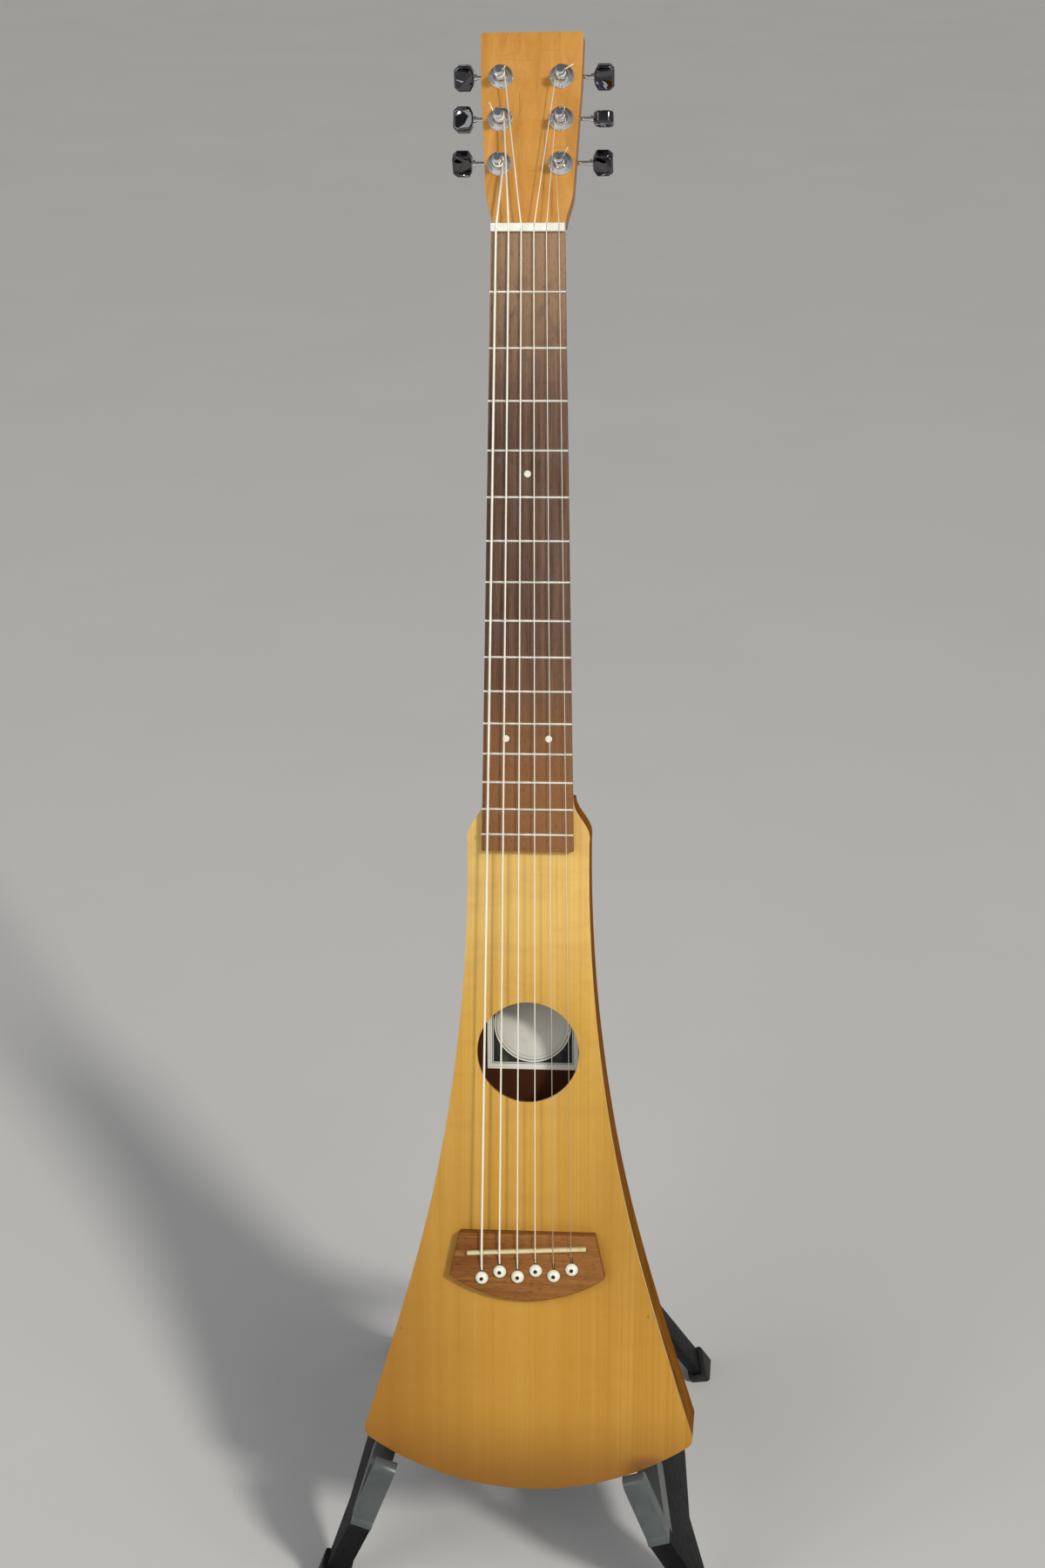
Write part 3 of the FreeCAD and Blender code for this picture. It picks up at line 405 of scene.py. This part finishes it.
def rosewood(name, light, middle, dark, rough_from=0.42, crosswise=False):
    """The fretboard, with its grain up the neck, or the bridge, with its grain crosswise."""
    def grain(along, across):
        return sh.place((along, across, across) if crosswise else (across, across, along))

    sh = Shader(name, Specular_IOR_Level=0.20)
    x, _, z = sh.split(sh.place())[:3]
    streak = sh.noise(grain(90, 2.6), 1.0, 4.0, 0.65, 0.5)
    colour = sh.ramp(streak, [(0.30, dark), (0.50, middle), (0.68, light)])
    fine = sh.between(sh.noise(grain(22, 0.7), 1.0, 3.0, 0.7), 0.38, 0.70)
    colour = sh.tint(colour, fine, 0.35, dark)
    if crosswise:
        colour = painted_slot_shade(sh, sh.mix(sh.between(x, -48.0, 20.0, 0.0, 0.45), colour, light))
    else:
        colour = fretboard_wear_and_sheen(sh, colour, z)
    pore = sh.between(sh.noise(grain(5.0, 0.42), 1.0, 3.0, 0.65), 0.57, 0.70)
    colour = sh.tint(colour, pore, 0.75, tuple(k * 0.35 for k in dark))
    mottle = sh.noise(sh.place((14, 14, 30)), 1.0, 3.0)
    rough = sh.between(mottle, 0.3, 0.7, rough_from, rough_from + 0.14)
    return sh.finish(colour, rough, sh.bump(sh.times(pore, -1.0), 0.5, 0.0003))


def bare_maple():
    sh = Shader("maple", Specular_IOR_Level=0.3)
    grain = sh.noise(sh.place((30, 2.0, 2.0)), 1.0, 4.0, 0.6)
    colour = sh.ramp(grain, [(0.3, (0.46, 0.32, 0.17)), (0.7, (0.62, 0.47, 0.28))])
    return sh.finish(colour, sh.between(grain, 0.3, 0.7, 0.5, 0.65), sh.bump(grain, 0.1, 0.0002))


def metal(name, colour, rough_low, rough_high, smudge=18.0):
    sh = Shader(name, Metallic=1.0)
    mottle = sh.noise(sh.place((smudge,) * 3, False), 1.0, 4.0, 0.6)
    tone = sh.ramp(mottle, [(0.3, tuple(k * 0.92 for k in colour)), (0.7, colour)])
    grain = sh.noise(sh.place((0.25,) * 3, False), 1.0, 3.0)
    return sh.finish(tone, sh.between(mottle, 0.35, 0.7, rough_low, rough_high),
                     sh.bump(grain, 0.02, 0.0001))


def button_painted_reflection():
    """Polished buttons, their colour darkened as a painted dark reflection, on bright shafts."""
    sh = Shader("button_painted_reflection", Metallic=1.0)
    out = sh.math("ABSOLUTE", sh.split(sh.place())[0])
    mottle = sh.noise(sh.place((9, 9, 9), False), 1.0, 4.0, 0.6)
    # Painted reflection: the buttons' colour is darkened to stand for dark surroundings seen in them.
    button = sh.ramp(mottle, [(0.3, (0.095, 0.095, 0.105)), (0.7, (0.130, 0.130, 0.140))])
    tone = sh.mix(sh.between(out, SHAFT_END, SHAFT_END + 1.2), (0.80, 0.79, 0.80), button)
    return sh.finish(tone, sh.between(mottle, 0.35, 0.7, 0.03, 0.08))


def string_metal(name, colour, pitch, painted_shade_end):
    """Round wire wrapped about a core: the turns run round the string. Painted shade darkens it towards
    the bridge, so it stays bright up the neck.
    """
    sh = Shader(name, Metallic=0.28)
    z = sh.split(sh.place())[2]
    turns = sh.math("SINE", sh.times(z, 2 * math.pi / pitch))
    tarnish = sh.noise(sh.place((4, 4, 26)), 1.0, 3.0)
    tone = sh.ramp(tarnish, [(0.3, tuple(k * 0.84 for k in colour)), (0.7, colour)])
    tone = sh.mix(sh.between(z, -540.0, -330.0, 1.0, 0.0), tone, painted_shade_end)
    return sh.finish(tone, sh.between(tarnish, 0.3, 0.7, 0.38, 0.48), sh.bump(turns, 0.12, 0.00006))


def bone(name, colour, shade, rough=0.34):
    sh = Shader(name, Specular_IOR_Level=0.5, Subsurface_Weight=0.08, Subsurface_Scale=0.002)
    mottle = sh.noise(sh.place((3.5, 3.5, 3.5)), 1.0, 4.0, 0.6)
    tone = sh.ramp(mottle, [(0.32, shade), (0.62, colour)])
    marks = sh.noise(sh.place((6.0, 0.6, 0.6)), 1.0, 3.0)
    rough = sh.between(mottle, 0.3, 0.7, rough - 0.05, rough + 0.07)
    return sh.finish(tone, rough, sh.bump(marks, 0.05, 0.0001))


LABEL_HALF_W = 28.2
LABEL_H = 76.0
LABEL_FOOT_Z = -507.0
DISC_UP = 28.6                                     # the disc's centre, above the label's foot


def paper_label():
    """A white border, a dark panel and a large pale disc with thin rings. It carries no lettering."""
    sh = Shader("label_paper", Specular_IOR_Level=0.2)
    fibre = sh.noise(sh.place((0.6, 0.6, 0.6)), 1.0, 4.0)
    stain = sh.noise(sh.place((14, 14, 14)), 1.0, 3.0)
    x, _, z = sh.split(sh.place())[:3]
    across = sh.math("ABSOLUTE", x)
    up = sh.math("SUBTRACT", z, LABEL_FOOT_Z)
    white, dark, pale = (0.84, 0.84, 0.76), (0.022, 0.026, 0.026), (0.70, 0.69, 0.61)

    def inside(margin):
        side = LABEL_HALF_W - margin
        wide = sh.between(across, side - 0.1, side + 0.1, 1.0, 0.0)
        low = sh.between(up, margin * 1.15 - 0.1, margin * 1.15 + 0.1)
        high = sh.between(up, LABEL_H - margin - 0.1, LABEL_H - margin + 0.1, 1.0, 0.0)
        return sh.times(wide, low, high)

    def disc(radius):
        flat = sh.node("ShaderNodeCombineXYZ", X=x, Z=up)
        return sh.spot(flat.outputs["Vector"], (0, 0, DISC_UP), radius - 0.1, 0.2)

    colour = sh.mix(inside(3.0), white, dark)
    colour = sh.mix(inside(3.35), colour, white)
    colour = sh.mix(inside(3.8), colour, dark)
    colour = sh.mix(disc(23.9), colour, white)
    colour = sh.mix(disc(22.9), colour, dark)
    colour = sh.mix(disc(22.5), colour, pale)
    colour = sh.mix(disc(20.6), colour, (0.30, 0.30, 0.28))
    colour = sh.mix(disc(20.4), colour, pale)
    colour = sh.mix(sh.between(stain, 0.45, 0.8, 0.0, 0.25), colour, (0.42, 0.36, 0.25))
    return sh.finish(colour, sh.between(fibre, 0.3, 0.7, 0.7, 0.85), sh.bump(fibre, 0.08, 0.0001))


def silicone():
    sh = Shader("sleeve_silicone", Specular_IOR_Level=0.55, IOR=1.41, Transmission_Weight=0.28)
    haze = sh.noise(sh.place((16, 16, 16), False), 1.0, 4.0, 0.6)
    dust = sh.noise(sh.place((0.8, 0.8, 0.8), False), 1.0, 4.0, 0.7)
    colour = sh.ramp(haze, [(0.3, (0.085, 0.100, 0.100)), (0.7, (0.120, 0.138, 0.138))])
    colour = sh.mix(sh.between(dust, 0.62, 0.78, 0.0, 0.15), colour, (0.30, 0.31, 0.30))
    rough = sh.between(haze, 0.3, 0.7, 0.30, 0.44)
    return sh.finish(colour, rough, sh.bump(dust, 0.06, 0.0001))


def black_coat():
    sh = Shader("stand_moulding", Specular_IOR_Level=0.08)
    grain = sh.noise(sh.place((0.35, 0.35, 0.35), False), 1.0, 2.0, 0.6)
    scuff = sh.noise(sh.place((3.0, 3.0, 22.0), False), 1.0, 4.0, 0.7)
    colour = sh.mix(sh.between(scuff, 0.64, 0.80, 0.0, 0.35), (0.005, 0.005, 0.006), (0.030, 0.031, 0.033))
    rough = sh.between(scuff, 0.3, 0.7, 0.50, 0.62)
    return sh.finish(colour, rough, sh.bump(grain, 0.12, 0.0001))


def black_rubber(name="foot_rubber", level=0.018):
    sh = Shader(name, Specular_IOR_Level=0.35)
    grain = sh.noise(sh.place((0.5, 0.5, 0.5), False), 1.0, 3.0, 0.6)
    dust = sh.noise(sh.place((9.0, 9.0, 9.0), False), 1.0, 4.0, 0.7)
    colour = sh.mix(sh.between(dust, 0.55, 0.75, 0.0, 0.4), (level,) * 3, (level * 3,) * 3)
    return sh.finish(colour, sh.between(grain, 0.3, 0.7, 0.6, 0.8), sh.bump(grain, 0.15, 0.0001))


def floor_paint():
    sh = Shader("floor", Specular_IOR_Level=0.2)
    cloud = sh.noise(sh.place((300, 300, 300), False), 1.0, 3.0)
    colour = sh.ramp(cloud, [(0.3, (0.68, 0.68, 0.67)), (0.7, (0.70, 0.70, 0.69))])
    return sh.finish(colour, 0.75)


PAINTED_REFLECTION_CHROME = button_painted_reflection()
MATERIALS = {
    "spruce": spruce(),
    "mahogany": body_wood(),
    "maple": bare_maple(),
    "rosewood": rosewood("fretboard_wood", (0.190, 0.105, 0.060), (0.125, 0.068, 0.042),
                         (0.070, 0.036, 0.022)),
    "fret_metal": metal("fret_nickel", (0.97, 0.95, 0.84), 0.38, 0.50),
    "bone": bone("nut_bone", (0.84, 0.83, 0.74), (0.74, 0.72, 0.60)),
    "pearl_white": bone("dot_white", (0.80, 0.78, 0.68), (0.72, 0.70, 0.60)),
    "pin_plastic": bone("pin_plastic", (0.84, 0.83, 0.71), (0.76, 0.74, 0.60), 0.28),
    "paper": paper_label(),
    "chrome": metal("chrome", (0.80, 0.80, 0.82), 0.03, 0.07, 9.0),
    "steel": metal("steel", (0.42, 0.42, 0.43), 0.24, 0.36),
    "string_wound": string_metal("wound_bronze", (0.95, 0.92, 0.80), 0.42, (0.92, 0.89, 0.76)),
    "string_plain": string_metal("plain_steel", (0.92, 0.90, 0.83), 60.0, (0.44, 0.38, 0.28)),
    "stand_black": black_coat(),
    "silicone": silicone(),
    "foot_rubber": black_rubber(),
}
EXTRA = {
    **{"tuner_button_%d" % n: PAINTED_REFLECTION_CHROME for n in range(1, 7)},
    "neck": neck_wood(),
    "bridge": rosewood("bridge_wood", (0.320, 0.140, 0.036), (0.215, 0.074, 0.012),
                       (0.125, 0.038, 0.005), 0.55, crosswise=True),
    "saddle": bone("saddle_bone", (0.70, 0.62, 0.35), (0.60, 0.50, 0.26)),
}


def paint_nodes():
    for subpart in frame["record"]["subparts"]:
        node, slot = subpart["node"], subpart["material_slot"]
        mesh = nodes[node].data
        mesh.materials.clear()
        mesh.materials.append(EXTRA.get(node) or MATERIALS[slot])


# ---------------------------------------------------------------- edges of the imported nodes

EDGE_ROUNDING = {
    "soundboard": 0.6, "body_shell": 0.5, "neck": 1.0, "fretboard": 0.35, "bridge": 0.25, "nut": 0.25,
    "tuner_housings": 0.25, "hinge_block": 1.0, "back_pad": 1.5, "saddle": 0.2,
    "left_front_leg": 1.3, "right_front_leg": 1.3, "left_rear_leg": 1.2, "right_rear_leg": 1.2,
    "left_sleeve": 0.7, "right_sleeve": 0.7, "left_front_foot": 1.2, "right_front_foot": 1.2,
    "left_rear_foot": 1.2, "right_rear_foot": 1.2,
}
SHARP = math.radians(38)                           # an edge that turns by more than this is sharp


def round_edges():
    """The nodes listed above get a small radius on their sharp edges. The others keep theirs sharp."""
    for name, node in nodes.items():
        for polygon in node.data.polygons:
            polygon.use_smooth = True
        weld = node.modifiers.new("weld", "WELD")
        weld.merge_threshold = 0.00001
        width = EDGE_ROUNDING.get(name)
        if width:
            bevel = node.modifiers.new("bevel", "BEVEL")
            bevel.width = width * MM
            bevel.segments = 3
            bevel.limit_method = "ANGLE"
            bevel.angle_limit = SHARP
            bevel.use_clamp_overlap = True
            bevel.harden_normals = True
        else:
            split = node.modifiers.new("split", "EDGE_SPLIT")
            split.split_angle = SHARP


# ---------------------------------------------------------------- strings

def link_mesh(name, bm, material, body):
    mesh = bpy.data.meshes.new(name)
    bmesh.ops.recalc_face_normals(bm, faces=bm.faces)
    bm.to_mesh(mesh)
    bm.free()
    for polygon in mesh.polygons:
        polygon.use_smooth = True
    piece = bpy.data.objects.new(name, mesh)
    bpy.context.scene.collection.objects.link(piece)
    mesh.materials.append(material)
    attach(piece, body)
    return piece


def add_skin(bm, rings):
    """Faces between rings of vertices, and over both ends."""
    sides = len(rings[0])
    for a, b in zip(rings, rings[1:]):
        for k in range(sides):
            bm.faces.new((a[k], a[(k + 1) % sides], b[(k + 1) % sides], b[k]))
    bm.faces.new(rings[0])
    bm.faces.new(rings[-1])


def add_tube(bm, points, radius, sides=12):
    """A closed round tube along points, in metres."""
    tangents = []
    for i in range(len(points)):
        ahead = points[min(i + 1, len(points) - 1)] - points[max(i - 1, 0)]
        tangents.append(ahead.normalized())
    across = tangents[0].orthogonal().normalized()
    rings = []
    for point, tangent in zip(points, tangents):
        across = (across - tangent * across.dot(tangent)).normalized()
        up = tangent.cross(across)
        ring = []
        for k in range(sides):
            turn = 2 * math.pi * k / sides
            ring.append(bm.verts.new(point + (across * math.cos(turn) + up * math.sin(turn)) * radius))
        rings.append(ring)
    add_skin(bm, rings)


def rounded(points, reach):
    """The same path with each corner replaced by a short curve."""
    path = [points[0]]
    for before, corner, after in zip(points, points[1:], points[2:]):
        start = corner + (before - corner).normalized() * min(reach, (before - corner).length * 0.45)
        end = corner + (after - corner).normalized() * min(reach, (after - corner).length * 0.45)
        for step in range(7):
            t = step / 6
            path.append(start * (1 - t) ** 2 + corner * 2 * t * (1 - t) + end * t ** 2)
    return path + [points[-1]]


def winding_height(k):
    """The middle of the turns, in front of the headstock. They lie lowest on the two posts by the nut."""
    return 5.4 if k % 3 == 0 else 7.6


def post_place(k):
    """Post k's side, -1 for left, and its x and z in the headstock's frame."""
    side = -1 if k < 3 else 1
    return side, side * POST_X, POST_Z[k % 3]


def string_points(i):
    """String i's centre line, from its post over the nut and the saddle down into the bridge."""
    d = STRING_D[i]
    k = TUNER_OF_STRING[i]
    side, post_x, post_z = post_place(k)
    touch = from_head((post_x - side * (WAIST_R + d / 2), -winding_height(k), post_z))
    across = i / 5 - 0.5
    saddle_x = SADDLE_SPREAD * across
    at_nut = Vector((NUT_SPREAD * across, -STRING_LIFT - d / 2, NUT_STRING_Z))
    at_saddle = Vector((saddle_x, -SADDLE_TOP - d / 2, SADDLE_SLANT * saddle_x - SCALE))
    pin_x, pin_z = pin_place(i)
    ahead = pin_z + PIN_REACH + d / 2
    at_bridge = Vector((pin_x, BRIDGE_Y - 0.5, ahead))
    inside = Vector((pin_x, BRIDGE_Y + 4.0, ahead - 0.5))
    return [touch, at_nut, at_saddle, at_bridge, inside]


def string_slot(number):
    return "string_wound" if number > 2 else "string_plain"


def make_strings():
    for i, d in enumerate(STRING_D):
        number = 6 - i
        slot = string_slot(number)
        bm = bmesh.new()
        path = rounded(string_points(i), 2.0)
        add_tube(bm, [in_row(p) for p in path], d / 2 * MM)
        piece = link_mesh("string_line_%d" % number, bm, MATERIALS[slot], "guitar")
        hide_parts("string_%d" % number)


# Each string's cut end beyond its post: length, and direction in the headstock's frame.
TAILS = ((3.4, (0.25, -0.45, -1.0)), (5.6, (-0.75, -0.3, 0.85)), (3.0, (0.9, -0.8, 0.3)),
         (6.2, (1.0, -0.35, 0.28)), (3.2, (0.8, -0.9, 0.5)), (5.8, (0.85, -0.45, 0.80)))
TAIL_D = 0.75                                      # thicker strings' cut ends are drawn this thin


def turns_path(i):
    """String i's turns about its post, laid towards the post's top, in the headstock's frame."""
    d = STRING_D[i]
    k = TUNER_OF_STRING[i]
    side, post_x, post_z = post_place(k)
    turns = 2 if d > 1 else 3 if d > 0.5 else 5
    radius = WAIST_R + d / 2
    first = -winding_height(k) + (turns - 1) * d / 2
    last = first - (turns - 1) * d * 1.02
    steps = 28 * turns
    path = []
    for step in range(steps + 1):
        t = step / steps
        angle = 2 * math.pi * turns * t
        path.append(Vector((post_x - side * radius * math.cos(angle), first + (last - first) * t,
                            post_z - radius * math.sin(angle))))
    return path


def tail_path(i):
    """String i's cut end, out of the hole in its post, in the headstock's frame."""
    _, post_x, post_z = post_place(TUNER_OF_STRING[i])
    length, direction = TAILS[i]
    hole = Vector((post_x, HOLE_Y, post_z))
    outwards = Vector((math.copysign(1, direction[0]), 0, 0))
    end = hole + Vector(direction).normalized() * (WAIST_R + length)
    return rounded([hole - outwards * 2.6, hole + outwards * 2.4, end], 1.2)


def make_windings():
    for i, d in enumerate(STRING_D):
        number = 6 - i
        slot = string_slot(number)
        bm = bmesh.new()
        add_tube(bm, [in_row(from_head(p)) for p in turns_path(i)], d / 2 * MM)
        add_tube(bm, [in_row(from_head(p)) for p in tail_path(i)], min(d, TAIL_D) / 2 * MM)
        piece = link_mesh("string_turns_%d" % number, bm, MATERIALS[slot], "post_%d" % number)
        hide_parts("string_winding_%d" % number)


def make_pin_dots():
    """A small black dot is set in the top of each bridge pin."""
    bm = bmesh.new()
    sides = 24
    for i in range(6):
        x, z = pin_place(i)
        rings = []
        for radius, y in ((1.15, -4.6), (1.15, -5.06), (1.0, -5.12), (0.6, -5.16)):
            turns = [2 * math.pi * k / sides for k in range(sides)]
            places = [(x + radius * math.cos(turn), y, z + radius * math.sin(turn)) for turn in turns]
            rings.append([bm.verts.new(in_row(place)) for place in places])
        add_skin(bm, rings)
    link_mesh("pin_dots", bm, black_rubber("pin_dot_black", 0.008), "guitar")


def make_floor():
    bm = bmesh.new()
    bmesh.ops.create_grid(bm, x_segments=1, y_segments=1, size=60)
    mesh = bpy.data.meshes.new("floor")
    bm.to_mesh(mesh)
    bm.free()
    mesh.materials.append(floor_paint())
    floor = bpy.data.objects.new("floor", mesh)
    bpy.context.scene.collection.objects.link(floor)


make_camera()
make_lights()
make_floor()
paint_nodes()
round_edges()
make_strings()
make_windings()
make_pin_dots()
